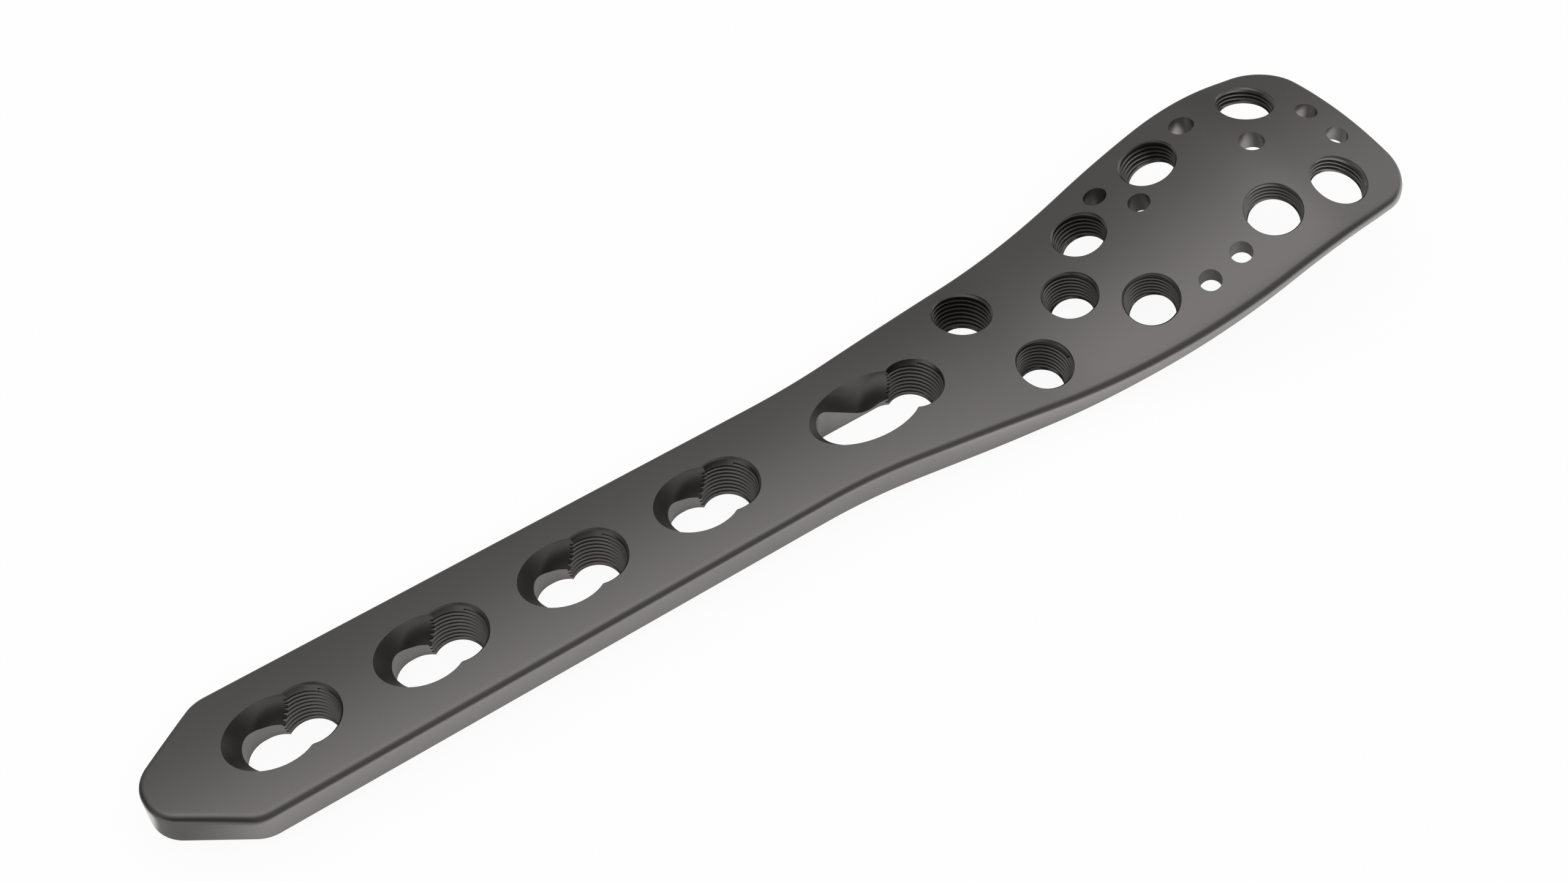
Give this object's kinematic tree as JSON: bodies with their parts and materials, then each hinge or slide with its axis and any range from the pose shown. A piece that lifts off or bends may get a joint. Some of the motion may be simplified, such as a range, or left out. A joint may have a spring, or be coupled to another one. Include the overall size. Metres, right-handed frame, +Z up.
{
  "type": "orthopedic bone plate",
  "caption": "Straight orthopedic bone plate with a flared, raised head, combination holes along the shaft, and threaded screw bores and guide-wire bores in the head.",
  "frame": {"origin": "middle of the plate's footprint, on the plane of the underside of the shaft", "axes": "+X along the shaft from the tip to the head, +Y across the plate, +Z up out of the top face"},
  "size_m": [0.169, 0.0308, 0.0143],
  "materials": {
    "metal": "dark satin, anodised"
  },
  "bodies": {
    "root": {"bone_plate": "metal"}
  },
  "joints": []
}
